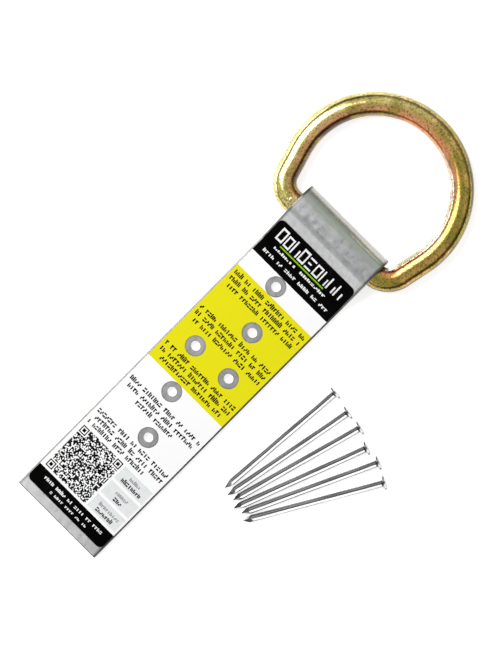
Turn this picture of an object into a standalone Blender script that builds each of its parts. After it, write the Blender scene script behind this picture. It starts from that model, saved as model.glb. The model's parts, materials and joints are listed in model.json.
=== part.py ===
"""Nail-down roof anchor: a folded galvanised strap that holds a D-ring, its label and six loose nails.

The strap lies along Y with its fold at +Y, and the roof is the plane z = 0. The origin is on the
underside of the lower leaf, midway between the fold and the free ends.
"""

import math

import bmesh
import bpy
from mathutils import Matrix, Vector

# Strap: one steel sheet, folded back on itself round the bar of the D-ring.
STRAP_LENGTH = 0.216  # outside of the fold to the free ends
STRAP_WIDTH = 0.0555
SHEET = 0.0020
LEAF_GAP = 0.0003  # daylight between the two leaves
LOOP_SLACK = 0.0016  # spare room in the fold ahead of the bar
RAMP_ANGLE = math.radians(35)  # the upper leaf's way down from the bar to the lower leaf
RAMP_FOOT_RADIUS = 0.010  # middle of the sheet, where the ramp levels out

# D-ring: a bent rod with one straight bar, two corners, two short legs and a round arch.
WIRE = 0.0127
ARCH_INSIDE_RADIUS = 0.03775
CORNER_INSIDE_RADIUS = 0.00565
EYE_DEPTH = 0.0641  # inside, from the bar to the crown of the arch
BAR_SPARE = 0.0003  # straight length of the bar, over the width of the strap
BAR_CLEARANCE = 0.0005  # round the bar, to the sheet
RING_SHIFT = -0.0018  # how far the ring has slid along X
RING_SKEW = math.radians(2.3)  # how far the bar lies out of square with the strap

# Nails: six loose common nails, fanned out on the roof beside the strap.
NAIL_LENGTH = 0.0762
NAIL_SHANK = 0.00376
NAIL_HEAD = 0.0079
NAIL_HEAD_THICKNESS = 0.0011
NAIL_HEAD_EDGE = 0.0002
NAIL_POINT = 0.0052
NAIL_TIP_FLAT = 0.0003
NAIL_SIDES = 24
NAIL_FROM_STRAP = 0.0221  # edge of the strap to the first tip
NAIL_FROM_MIDDLE = -0.0346  # first tip along Y
NAIL_TIP_GAP = 0.0001  # over one shank between tips, and it grows from there
# Each nail's heading from +X in degrees, and how far its tip is ahead of the one before it.
NAIL_FAN = ((85.5, 0.0), (79.3, -0.0010), (74.7, 0.0010), (69.4, -0.0017), (65.3, 0.0027), (60.1, -0.0003))

# Nail holes, through both leaves: five rows on an even pitch, a pair in the middle one.
NAIL_ROOM = 0.00224  # hole over shank
HOLE_FROM_RAMP = 0.0123  # foot of the ramp to the first row
HOLE_PITCH = 0.0254
HOLE_OFFSET = -0.0004  # the whole pattern, along X
ZIGZAG = 0.0040
PAIR_SPREAD = 0.0120
# Each hole's row, counted from the ramp, and its place along X.
HOLES = ((0, -ZIGZAG), (1, ZIGZAG), (2, -PAIR_SPREAD), (2, PAIR_SPREAD), (3, -ZIGZAG), (4, ZIGZAG))

# Label: a printed film on the upper leaf, punched round the nail holes.
LABEL_FILM = 0.00025
LABEL_GAP = 0.0003
LABEL_SIDE = 0.00095  # bare metal beside it
LABEL_END = 0.0054  # bare metal at the free end
LABEL_FOLD = 0.0228  # bare metal at the fold
LABEL_CORNER = 0.0030
LABEL_RIM = 0.00245  # bare metal round each hole

REST_GAP = 0.0003  # under the ring and the nails
ARC_STEP = math.radians(9)  # longest step along a bend
CUTTER_REACH = 0.05  # further than any piece that is cut

# What follows from the sizes above. The sheet's and the rod's bends are taken at their middle.
BEND_RADIUS = WIRE / 2 + BAR_CLEARANCE + SHEET / 2
SKEW_ROOM = STRAP_WIDTH / 2 * math.tan(RING_SKEW)
FOLD_Y = STRAP_LENGTH / 2
NOSE_Y = FOLD_Y - SHEET / 2 - BEND_RADIUS
BAR_Y = NOSE_Y - LOOP_SLACK - SKEW_ROOM
BAR_Z = SHEET / 2 + BEND_RADIUS
CROWN_Y = BAR_Y - SKEW_ROOM - BAR_CLEARANCE
UPPER_Z = SHEET * 1.5 + LEAF_GAP  # middle of the upper leaf where it lies flat
RAMP_DROP = BAR_Z + BEND_RADIUS - UPPER_Z - (BEND_RADIUS + RAMP_FOOT_RADIUS) * (1 - math.cos(RAMP_ANGLE))
RAMP_RUN = RAMP_DROP / math.tan(RAMP_ANGLE) + (BEND_RADIUS + RAMP_FOOT_RADIUS) * math.sin(RAMP_ANGLE)
FOOT_Y = CROWN_Y - RAMP_RUN
ARCH_RADIUS = ARCH_INSIDE_RADIUS + WIRE / 2
CORNER_RADIUS = CORNER_INSIDE_RADIUS + WIRE / 2
RING_DEPTH = EYE_DEPTH + WIRE
BAR_STRAIGHT = STRAP_WIDTH + BAR_SPARE
HOLE = NAIL_SHANK + NAIL_ROOM


def clear_scene():
    for obj in list(bpy.data.objects):
        bpy.data.objects.remove(obj)


def make_collection(name):
    collection = bpy.data.collections.new(name)
    bpy.context.scene.collection.children.link(collection)
    return collection


def make_material(name, color, roughness, metallic):
    material = bpy.data.materials.new(name)
    material.use_nodes = True
    shader = material.node_tree.nodes["Principled BSDF"]
    shader.inputs["Base Color"].default_value = (*color, 1.0)
    shader.inputs["Roughness"].default_value = roughness
    shader.inputs["Metallic"].default_value = metallic
    return material


def add_object(name, data, collection, material=None):
    obj = bpy.data.objects.new(name, data)
    collection.objects.link(obj)
    if material and not data.materials:
        data.materials.append(material)
    return obj


def add_cutter(name, bm):
    """A hidden solid that a Boolean reads."""
    mesh = bpy.data.meshes.new(name)
    bm.to_mesh(mesh)
    bm.free()
    cutter = add_object(name, mesh, cutters)
    cutter.hide_render = True
    cutter.display_type = "WIRE"
    return cutter


def cut(obj, cutter, operation):
    boolean = obj.modifiers.new(cutter.name, "BOOLEAN")
    boolean.operation = operation
    boolean.solver = "EXACT"
    boolean.object = cutter


def arc(centre, radius, start, end):
    """Points on an arc, both ends included. Angles are from the first axis, in radians."""
    steps = max(2, math.ceil(abs(end - start) / ARC_STEP))
    angles = [start + (end - start) * i / steps for i in range(steps + 1)]
    return [(centre[0] + radius * math.cos(a), centre[1] + radius * math.sin(a)) for a in angles]


def leaf_path(offset):
    """The upper leaf from the crown of the fold down the ramp to its foot, as (y, z).

    offset is the distance outwards from the middle of the sheet.
    """
    crown = arc((CROWN_Y, BAR_Z), BEND_RADIUS + offset, math.pi / 2, math.pi / 2 + RAMP_ANGLE)
    foot_centre = (FOOT_Y, UPPER_Z + RAMP_FOOT_RADIUS)
    foot = arc(foot_centre, RAMP_FOOT_RADIUS - offset, RAMP_ANGLE - math.pi / 2, -math.pi / 2)
    return crown + foot


def band(name, path, width, thickness, material):
    """A sheet that follows a path in the YZ plane, as an open surface with a Solidify."""
    bm = bmesh.new()
    near = [bm.verts.new((-width / 2, y, z)) for y, z in path]
    edges = [bm.edges.new(pair) for pair in zip(near, near[1:])]
    swept = bmesh.ops.extrude_edge_only(bm, edges=edges)["geom"]
    far = [part for part in swept if isinstance(part, bmesh.types.BMVert)]
    bmesh.ops.translate(bm, verts=far, vec=(width, 0, 0))
    bmesh.ops.recalc_face_normals(bm, faces=bm.faces)
    mesh = bpy.data.meshes.new(name)
    bm.to_mesh(mesh)
    bm.free()
    mesh.shade_smooth()
    mesh.set_sharp_from_angle(angle=math.radians(30))
    obj = add_object(name, mesh, parts, material)
    solidify = obj.modifiers.new("sheet", "SOLIDIFY")
    solidify.thickness = thickness
    solidify.offset = 0
    solidify.use_even_offset = True
    return obj


def hole_places():
    first_row = FOOT_Y - HOLE_FROM_RAMP
    return [(HOLE_OFFSET + across, first_row - row * HOLE_PITCH) for row, across in HOLES]


def hole_cutter(name, diameter):
    bm = bmesh.new()
    for x, y in hole_places():
        made = bmesh.ops.create_cone(
            bm, cap_ends=True, segments=32, radius1=diameter / 2, radius2=diameter / 2, depth=CUTTER_REACH
        )
        bmesh.ops.translate(bm, verts=made["verts"], vec=(x, y, 0))
    return add_cutter(name, bm)


def make_strap():
    half_turn = arc((NOSE_Y, BAR_Z), BEND_RADIUS, -math.pi / 2, math.pi / 2)
    path = [(-FOLD_Y, SHEET / 2), *half_turn, *leaf_path(0), (-FOLD_Y, UPPER_Z)]
    zinc = make_material("galvanised_steel", (0.42, 0.43, 0.44), 0.42, 1.0)
    strap = band("strap", path, STRAP_WIDTH, SHEET, zinc)
    cut(strap, hole_cutter("nail_holes", HOLE), "DIFFERENCE")


def label_plate():
    """A plate that has the label's outline, seen from above."""
    width = STRAP_WIDTH - 2 * LABEL_SIDE
    length = STRAP_LENGTH - LABEL_END - LABEL_FOLD
    middle = (LABEL_END - LABEL_FOLD) / 2
    bm = bmesh.new()
    corners = bmesh.ops.create_cube(bm, size=1)["verts"]
    bmesh.ops.scale(bm, verts=corners, vec=(width, length, CUTTER_REACH))
    upright = [edge for edge in bm.edges if abs(edge.verts[0].co.z - edge.verts[1].co.z) > CUTTER_REACH / 2]
    bmesh.ops.bevel(bm, geom=upright, offset=LABEL_CORNER, segments=6, profile=0.5, affect="EDGES")
    bmesh.ops.translate(bm, verts=bm.verts, vec=(0, middle, 0))
    return add_cutter("label_outline", bm)


def make_label():
    lift = SHEET / 2 + LABEL_GAP + LABEL_FILM / 2
    path = [*leaf_path(lift), (-FOLD_Y, UPPER_Z + lift)]
    film = make_material("printed_film", (0.90, 0.83, 0.03), 0.45, 0.0)
    label = band("label", path, STRAP_WIDTH, LABEL_FILM, film)
    cut(label, label_plate(), "INTERSECT")
    cut(label, hole_cutter("label_punches", HOLE + 2 * LABEL_RIM), "DIFFERENCE")


def ring_path():
    """The middle of the rod, as (x, y) from the middle of the bar. It is symmetric about x = 0."""
    arch = Vector((0, RING_DEPTH - ARCH_RADIUS))
    corner = Vector((BAR_STRAIGHT / 2, CORNER_RADIUS))
    between = corner - arch
    # The leg touches both circles, so this is the angle at which it leaves the arch.
    lean = math.acos((ARCH_RADIUS - CORNER_RADIUS) / between.length)
    leave = math.atan2(between.y, between.x) + lean
    right = arc(corner, CORNER_RADIUS, -math.pi / 2, leave) + arc(arch, ARCH_RADIUS, leave, math.pi / 2)
    left = [(-x, y) for x, y in reversed(right[:-1])]
    return right + left


def make_ring():
    curve = bpy.data.curves.new("d_ring", "CURVE")
    curve.dimensions = "3D"
    curve.bevel_depth = WIRE / 2
    curve.bevel_resolution = 6
    path = ring_path()
    spline = curve.splines.new("POLY")
    spline.points.add(len(path) - 1)
    for point, (x, y) in zip(spline.points, path):
        point.co = (x, y, 0, 1)
    spline.use_cyclic_u = True
    gold = make_material("yellow_zinc_plated_steel", (0.62, 0.44, 0.13), 0.30, 1.0)
    ring = add_object("d_ring", curve, parts, gold)
    droop = math.asin((BAR_Z - WIRE / 2 - REST_GAP) / RING_DEPTH)
    ring.location = (RING_SHIFT, BAR_Y, BAR_Z)
    ring.rotation_euler = (-droop, 0, RING_SKEW)


def nail_point_cutter():
    """A four-sided pyramid, tip down, whose flats meet the shank one point length up.

    It is turned by half a side of the nail, so that its edges miss the nail's own.
    """
    flare = (NAIL_SHANK / 2 - NAIL_TIP_FLAT / 2) / NAIL_POINT
    tall = NAIL_LENGTH * 1.1
    flat_to_corner = math.sqrt(2)
    bm = bmesh.new()
    bmesh.ops.create_cone(
        bm,
        cap_ends=True,
        segments=4,
        radius1=NAIL_TIP_FLAT / 2 * flat_to_corner,
        radius2=(NAIL_TIP_FLAT / 2 + flare * tall) * flat_to_corner,
        depth=tall,
    )
    bmesh.ops.translate(bm, verts=bm.verts, vec=(0, 0, tall / 2))
    half_side = Matrix.Rotation(math.pi / NAIL_SIDES, 3, "Z")
    bmesh.ops.rotate(bm, verts=bm.verts, cent=(0, 0, 0), matrix=half_side)
    return add_cutter("nail_point", bm)


def nail_mesh():
    """A nail, tip down at the origin: a turned profile whose end is ground to four flats."""
    head = NAIL_HEAD / 2
    rim = head - NAIL_HEAD_EDGE
    under = NAIL_LENGTH - NAIL_HEAD_THICKNESS
    profile = [
        (0, NAIL_LENGTH),
        (rim, NAIL_LENGTH),
        (head, NAIL_LENGTH - NAIL_HEAD_EDGE),
        (head, under + NAIL_HEAD_EDGE),
        (rim, under),
        (NAIL_SHANK / 2, under),
        (NAIL_SHANK / 2, 0),
        (0, 0),
    ]
    outline = bpy.data.meshes.new("nail_outline")
    edges = [(i, i + 1) for i in range(len(profile) - 1)]
    outline.from_pydata([(r, 0, z) for r, z in profile], edges, [])
    blank = add_object("nail_blank", outline, cutters)
    screw = blank.modifiers.new("turned", "SCREW")
    screw.steps = NAIL_SIDES
    screw.render_steps = NAIL_SIDES
    screw.use_merge_vertices = True
    screw.merge_threshold = 0.00001
    cut(blank, nail_point_cutter(), "INTERSECT")
    graph = bpy.context.evaluated_depsgraph_get()
    mesh = bpy.data.meshes.new_from_object(blank.evaluated_get(graph))
    mesh.name = "nail"
    mesh.shade_smooth()
    mesh.set_sharp_from_angle(angle=math.radians(30))
    bpy.data.objects.remove(blank)
    return mesh


def nail_tips():
    """Where each nail's tip lies: one shank and a gap across from the one before it."""
    x = STRAP_WIDTH / 2 + NAIL_FROM_STRAP
    y = NAIL_FROM_MIDDLE
    before = NAIL_FAN[0][0]
    tips = []
    for heading, ahead in NAIL_FAN:
        along = math.radians((heading + before) / 2)
        across = (NAIL_SHANK + NAIL_TIP_GAP) if tips else 0.0
        x += ahead * math.cos(along) + across * math.sin(along)
        y += ahead * math.sin(along) - across * math.cos(along)
        before = heading
        tips.append((x, y, math.radians(heading)))
    return tips


def make_nails():
    """Each nail lies on the shoulder of its point and the rim of its head."""
    mesh = nail_mesh()
    steel = make_material("bright_steel", (0.33, 0.33, 0.34), 0.28, 1.0)
    rim_along = NAIL_LENGTH - NAIL_HEAD_THICKNESS + NAIL_HEAD_EDGE
    rise = math.atan((NAIL_HEAD - NAIL_SHANK) / 2 / (rim_along - NAIL_POINT))
    tip_z = REST_GAP + NAIL_SHANK / 2 * math.cos(rise) - NAIL_POINT * math.sin(rise)
    for number, (x, y, heading) in enumerate(nail_tips(), 1):
        nail = add_object(f"nail_{number}", mesh, parts, steel)
        nail.location = (x, y, tip_z)
        nail.rotation_euler = (0, math.pi / 2 - rise, heading)


clear_scene()
parts = make_collection("roof_anchor")
cutters = make_collection("cutters")
make_strap()
make_label()
make_ring()
make_nails()
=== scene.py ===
"""Nail-down roof anchor: a folded galvanised strap that holds a D-ring, its label and six loose nails.

Everything is in metres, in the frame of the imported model: Y runs along the strap toward the ring, X
across it toward the nails, and the roof is the plane z = 0.
"""

import json
import math

import bmesh
import bpy
from mathutils import Matrix, Vector

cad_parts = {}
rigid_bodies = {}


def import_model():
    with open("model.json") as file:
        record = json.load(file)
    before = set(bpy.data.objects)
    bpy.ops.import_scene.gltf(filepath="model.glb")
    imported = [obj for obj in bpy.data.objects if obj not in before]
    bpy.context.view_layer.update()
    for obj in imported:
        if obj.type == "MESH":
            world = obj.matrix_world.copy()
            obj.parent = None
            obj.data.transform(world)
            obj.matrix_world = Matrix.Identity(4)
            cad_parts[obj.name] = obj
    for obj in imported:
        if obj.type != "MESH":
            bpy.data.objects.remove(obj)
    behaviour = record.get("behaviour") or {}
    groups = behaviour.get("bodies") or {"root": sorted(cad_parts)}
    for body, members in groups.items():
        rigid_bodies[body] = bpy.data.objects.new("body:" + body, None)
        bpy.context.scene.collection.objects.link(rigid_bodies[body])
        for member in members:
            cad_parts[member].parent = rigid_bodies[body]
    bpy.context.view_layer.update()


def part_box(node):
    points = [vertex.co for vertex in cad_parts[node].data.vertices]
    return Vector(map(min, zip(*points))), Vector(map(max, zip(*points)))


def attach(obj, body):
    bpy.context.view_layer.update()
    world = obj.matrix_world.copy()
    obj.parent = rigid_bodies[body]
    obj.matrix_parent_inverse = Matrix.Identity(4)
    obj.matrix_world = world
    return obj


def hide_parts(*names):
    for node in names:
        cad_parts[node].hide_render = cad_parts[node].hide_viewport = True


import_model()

# Camera: it hangs well over a metre above the roof, almost straight over the anchor, with a slight
# lean toward the ring. The strap climbs from the lower left of the view to its upper right.
VIEW_MIDDLE = Vector((0.0005, 0.0317, 0.004))
VIEW_DISTANCE = 1.7
VIEW_LENGTH = 0.3390  # what the longer side of the view takes in
LEAN_TO_RING = math.radians(3.6)
LEAN_TO_NAILS = math.radians(1.5)
STRAP_CLIMB = math.radians(45.1)  # above the view's horizontal

camera_data = bpy.data.cameras.new("camera")
camera_data.sensor_width = 36
camera_data.lens = camera_data.sensor_width * VIEW_DISTANCE / VIEW_LENGTH
camera_data.clip_start = 0.01


def show(name, data):
    """An object in the scene that holds the data."""
    thing = bpy.data.objects.new(name, data)
    bpy.context.scene.collection.objects.link(thing)
    return thing


camera = show("camera", camera_data)
away = Vector((math.tan(LEAN_TO_NAILS), math.tan(LEAN_TO_RING), 1)).normalized()
level = Vector((math.sin(STRAP_CLIMB), math.cos(STRAP_CLIMB), 0))
rightward = (level - away * level.dot(away)).normalized()
upward = away.cross(rightward)
facing = Matrix((rightward, upward, away)).transposed().to_4x4()
camera.matrix_world = Matrix.Translation(VIEW_MIDDLE + away * VIEW_DISTANCE) @ facing
bpy.context.scene.camera = camera
bpy.context.scene.view_settings.view_transform = "Standard"


# Floor and light: a faintly glowing white table in a dim room. The anchor is lit by an overhead sheet, a
# softbox and a low strip away from the nails, and cards at either end. The ring has a second sheet
# overhead, and the nails have two cards of their own instead of all these.
FLOOR_SIDE = 9.0
FLOOR_WHITE = (0.92, 0.92, 0.92, 1)
FLOOR_GLOW = 0.74
BACKDROP = (0.93, 0.93, 0.93, 1)


def add_node(tree, kind, values=None, **settings):
    """A node with its settings. Each of its inputs in values takes a value, or a link from a socket."""
    node = tree.nodes.new(kind)
    for name, value in settings.items():
        setattr(node, name, value)
    for name, value in (values or {}).items():
        if isinstance(value, bpy.types.NodeSocket):
            tree.links.new(value, node.inputs[name])
        else:
            node.inputs[name].default_value = value
    return node


def flow(tree, kind, values=None, socket=0, **settings):
    """What a new node puts out: its first output, unless socket says another."""
    return add_node(tree, kind, values, **settings).outputs[socket]


def set_ramp(ramp, stops):
    """Stops are (place, colour or grey value)."""
    elements = ramp.color_ramp.elements
    while len(elements) < len(stops):
        elements.new(1)
    for element, (place, shade) in zip(elements, stops):
        element.position = place
        element.color = shade if isinstance(shade, tuple) else (shade, shade, shade, 1)
    return ramp.outputs["Color"]


def new_material(name, **constants):
    """A Principled material. Constants are the shader's own inputs, with _ for a space in their names."""
    material = bpy.data.materials.new(name)
    material.use_nodes = True
    shader = material.node_tree.nodes["Principled BSDF"]
    for key, value in constants.items():
        shader.inputs[key.replace("_", " ")].default_value = value
    return material, material.node_tree, shader


floor_mesh = bpy.data.meshes.new("floor")
half = FLOOR_SIDE / 2
floor_corners = [(-half, -half, 0), (half, -half, 0), (half, half, 0), (-half, half, 0)]
floor_mesh.from_pydata(floor_corners, [], [(0, 1, 2, 3)])
floor = show("floor", floor_mesh)
floor_paint, _, _ = new_material(
    "floor_white",
    Base_Color=FLOOR_WHITE,
    Roughness=0.9,
    Specular_IOR_Level=0.1,
    Emission_Color=FLOOR_WHITE,
    Emission_Strength=FLOOR_GLOW,
)
floor_mesh.materials.append(floor_paint)

world = bpy.data.worlds.new("studio")
bpy.context.scene.world = world
world.use_nodes = True
sky = world.node_tree
sky.nodes.clear()
direction = flow(sky, "ShaderNodeTexCoord", None, "Generated")
height = flow(sky, "ShaderNodeSeparateXYZ", {"Vector": direction}, "Z")
dome = set_ramp(
    add_node(sky, "ShaderNodeValToRGB", {"Fac": height}),
    [(0.0, 0.06), (0.25, 0.08), (1.0, 0.12)],
)
lit = flow(sky, "ShaderNodeBackground", {"Color": dome, "Strength": 1.0})
seen = flow(sky, "ShaderNodeBackground", {"Color": BACKDROP, "Strength": 1.0})
ray = flow(sky, "ShaderNodeLightPath", None, "Is Camera Ray")
either = flow(sky, "ShaderNodeMixShader", {0: ray, 1: lit, 2: seen})
add_node(sky, "ShaderNodeOutputWorld", {"Surface": either})


def add_softbox(name, place, aim, size, glow):
    """A rectangular light that faces aim, and the collection of the pieces that it lights.

    glow is its brightness, whatever its size.
    """
    data = bpy.data.lights.new(name, "AREA")
    data.shape = "RECTANGLE"
    data.size, data.size_y = size
    data.energy = glow * math.pi * size[0] * size[1]
    light = show(name, data)
    toward = Vector(aim) - Vector(place)
    light.matrix_world = Matrix.Translation(place) @ toward.to_track_quat("-Z", "Y").to_matrix().to_4x4()
    light.visible_camera = False
    receivers = bpy.data.collections.new(name + "_lights")
    light.light_linking.receiver_collection = receivers
    return receivers


anchor_lights = (
    add_softbox("overhead", (0.0, 0.0, 1.30), (0.0, 0.0, 0), (4.6, 4.6), 0.18),
    add_softbox("ramp_card", (0.0, -1.20, 1.00), (0.0, 0.05, 0), (2.6, 1.1), 0.24),
    add_softbox("high_softbox", (-0.58, 0.06, 0.84), (-0.02, 0.08, 0), (0.62, 0.62), 7.6),
    add_softbox("low_strip", (-0.86, -0.20, 0.09), (0.0, 0.12, 0.01), (1.3, 0.15), 7.0),
    add_softbox("end_fill", (0.05, -1.05, 0.40), (0.0, 0.08, 0), (1.3, 0.36), 0.9),
    add_softbox("ring_card", (0.0, 1.25, 0.85), (0.0, 0.08, 0.02), (2.6, 1.6), 0.27),
)
ring_overhead = add_softbox("ring_overhead", (0.0, 0.0, 1.32), (0.0, 0.0, 0), (4.6, 4.6), 0.42)
nail_lights = (
    add_softbox("nail_card", (0.50, -0.10, 0.42), (0.07, 0.0, 0), (0.9, 0.90), 2.6),
    add_softbox("nail_shade", (-0.60, 0.10, 0.62), (0.07, 0.0, 0), (0.9, 0.70), 0.42),
)


# D-ring: half-inch steel rod bent to a D, butt-welded in the middle of its straight bar and then
# yellow zinc plated. It hangs loose in the strap's fold, and its arch lies on the roof.
strap_low, strap_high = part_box("strap")
ring_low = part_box("d_ring")[0]
ROD = 0.0127
ARCH_RADIUS = 0.0441  # the ring's radii are to the middle of the rod
CORNER_RADIUS = 0.0120
BAR_STRAIGHT = 0.0558
RING_DEPTH = 0.0768  # middle of the bar to middle of the arch
RING_SHIFT = -0.0018
RING_SKEW = math.radians(2.3)
FOLD_SLACK = 0.0016  # spare room in the fold ahead of the bar
FOLD_RADIUS = strap_high.z / 2  # outside of the fold
NOSE_Y = strap_high.y - FOLD_RADIUS
SKEW_ROOM = strap_high.x * math.tan(RING_SKEW)
BAR_Y = NOSE_Y - FOLD_SLACK - SKEW_ROOM
RING_DROOP = math.asin((FOLD_RADIUS - ROD / 2 - ring_low.z) / RING_DEPTH)
RING_PLACE = (
    Matrix.Translation((RING_SHIFT, BAR_Y, FOLD_RADIUS))
    @ Matrix.Rotation(RING_SKEW, 4, "Z")
    @ Matrix.Rotation(-RING_DROOP, 4, "X")
)
ROD_SIDES = 88
WELD_LENGTH = 0.0022
WELD_HEIGHT = 0.00022
# Chisel nicks on the left corner, in the ring's own plane: from, to and depth.
NICKS = (
    ((-0.0311, 0.0009), (-0.0302, 0.0030), 0.00034),
    ((-0.0296, 0.0004), (-0.0285, 0.0022), 0.00030),
    ((-0.0306, -0.0006), (-0.0291, -0.0002), 0.00022),
)
NICK_WIDTH = 0.00034
HAMMER_DEPTH = 0.00007


def bend(centre, radius, start, end, step):
    """Points on an arc, both ends included. Angles are from the first axis, in radians."""
    steps = max(2, math.ceil(abs(end - start) * radius / step))
    angles = [start + (end - start) * i / steps for i in range(steps + 1)]
    return [(centre[0] + radius * math.cos(a), centre[1] + radius * math.sin(a)) for a in angles]


def ring_path():
    """The middle of the rod in the ring's plane, once round from the middle of the bar."""
    arch = Vector((0, RING_DEPTH - ARCH_RADIUS))
    corner = Vector((BAR_STRAIGHT / 2, CORNER_RADIUS))
    between = corner - arch
    leave = math.atan2(between.y, between.x) + math.acos((ARCH_RADIUS - CORNER_RADIUS) / between.length)
    around = bend(arch, ARCH_RADIUS, leave, math.pi / 2, 0.0011)
    bar = [(BAR_STRAIGHT / 2 * i / 40, 0) for i in range(40)]
    right = bar + bend(corner, CORNER_RADIUS, -math.pi / 2, leave, 0.0005) + around[1:]
    left = [(-x, y) for x, y in reversed(right[1:-1])]
    return right + left


def new_tree(name, inputs):
    """An empty Geometry Nodes tree. Inputs are (name, socket kind, value); it hands back its two ends."""
    tree = bpy.data.node_groups.new(name, "GeometryNodeTree")
    tree.interface.new_socket("Geometry", in_out="INPUT", socket_type="NodeSocketGeometry")
    for label, kind, value in inputs:
        socket = tree.interface.new_socket(label, in_out="INPUT", socket_type=kind)
        if value is not None:
            socket.default_value = value
    tree.interface.new_socket("Geometry", in_out="OUTPUT", socket_type="NodeSocketGeometry")
    return tree, tree.nodes.new("NodeGroupInput").outputs, tree.nodes.new("NodeGroupOutput")


def calc(tree, operation, *terms):
    """A Math node's result. Terms are sockets or numbers."""
    return flow(tree, "ShaderNodeMath", dict(enumerate(terms)), operation=operation)


def finish_tree(tree, geometry, end, material):
    """Ends a tree in plain geometry that wears the material."""
    real = flow(tree, "GeometryNodeRealizeInstances", {"Geometry": geometry})
    worn = flow(tree, "GeometryNodeSetMaterial", {"Geometry": real, "Material": material})
    tree.links.new(worn, end.inputs["Geometry"])


def plain_copy(name, maker):
    """Takes the result of an object's modifiers as a plain piece, and removes that object."""
    graph = bpy.context.evaluated_depsgraph_get()
    mesh = bpy.data.meshes.new_from_object(maker.evaluated_get(graph), depsgraph=graph)
    maker.modifiers.clear()
    bpy.data.objects.remove(maker)
    mesh.name = name
    return show(name, mesh)


def grow(name, mesh, tree, values):
    """Runs the tree on the mesh, and hands back an object that holds the plain result."""
    seedling = show(name + "_seed", mesh)
    modifier = seedling.modifiers.new("nodes", "NODES")
    modifier.node_group = tree
    for socket in tree.interface.items_tree:
        if socket.item_type == "SOCKET" and socket.in_out == "INPUT" and socket.name in values:
            modifier[socket.identifier] = values[socket.name]
    return plain_copy(name, seedling)


def new_group(name, inputs, outputs):
    """An empty shader node group. Inputs are (name, kind, value), outputs are (name, kind)."""
    group = bpy.data.node_groups.new(name, "ShaderNodeTree")
    for label, kind, value in inputs:
        socket = group.interface.new_socket(label, in_out="INPUT", socket_type="NodeSocket" + kind)
        socket.default_value = value
    for label, kind in outputs:
        group.interface.new_socket(label, in_out="OUTPUT", socket_type="NodeSocket" + kind)
    return group, group.nodes.new("NodeGroupInput").outputs, group.nodes.new("NodeGroupOutput")


def blend_colours(tree, share, first, second):
    """The first colour, with a share of the second in it."""
    return flow(tree, "ShaderNodeMix", {0: share, 6: first, 7: second}, 2, data_type="RGBA")


def stretch_range(tree, value, low, high, out_low, out_high):
    """The value carried from the range low to high over to the range out_low to out_high."""
    ends = {"From Min": low, "From Max": high, "To Min": out_low, "To Max": out_high}
    return flow(tree, "ShaderNodeMapRange", {"Value": value, **ends})


def make_metal_grain():
    """Grain, blotches and drawn streaks over a surface. Streaks run along the first axis of Place."""
    group, given, result = new_group(
        "metal_grain",
        [
            ("Place", "Vector", (0, 0, 0)),
            ("Grain Scale", "Float", 2500.0),
            ("Blotch Scale", "Float", 120.0),
            ("Streak Scale", "Float", 900.0),
        ],
        [("Grain", "Float"), ("Blotches", "Float"), ("Streaks", "Float")],
    )
    drawn = flow(group, "ShaderNodeMapping", {"Vector": given["Place"], "Scale": (0.03, 1, 1)})
    for label, place, scale, finish in (
        ("Grain", given["Place"], "Grain Scale", {"Detail": 2.0}),
        ("Blotches", given["Place"], "Blotch Scale", {"Detail": 4.0, "Roughness": 0.6, "Distortion": 0.4}),
        ("Streaks", drawn, "Streak Scale", {"Detail": 3.0}),
    ):
        noise = flow(group, "ShaderNodeTexNoise", {"Vector": place, "Scale": given[scale], **finish})
        group.links.new(noise, result.inputs[label])
    return group


def use_group(tree, group, values):
    """Places a shader node group in a material with its own values, and hands back its outputs."""
    node = add_node(tree, "ShaderNodeGroup", node_tree=group)
    for name, value in values.items():
        if isinstance(value, bpy.types.NodeSocket):
            tree.links.new(value, node.inputs[name])
        else:
            node.inputs[name].default_value = value
    return node.outputs


def use_grain(tree, place, grain_scale, blotch_scale, streak_scale):
    """The metal grain at this material's own scales."""
    scales = {"Grain Scale": grain_scale, "Blotch Scale": blotch_scale, "Streak Scale": streak_scale}
    return use_group(tree, metal_grain, {"Place": place, **scales})


def bump(tree, shader, height, strength, distance):
    """Raises the shader's surface by height, up to distance in metres."""
    values = {"Height": height, "Strength": strength, "Distance": distance}
    tree.links.new(flow(tree, "ShaderNodeBump", values), shader.inputs["Normal"])


metal_grain = make_metal_grain()


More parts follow.
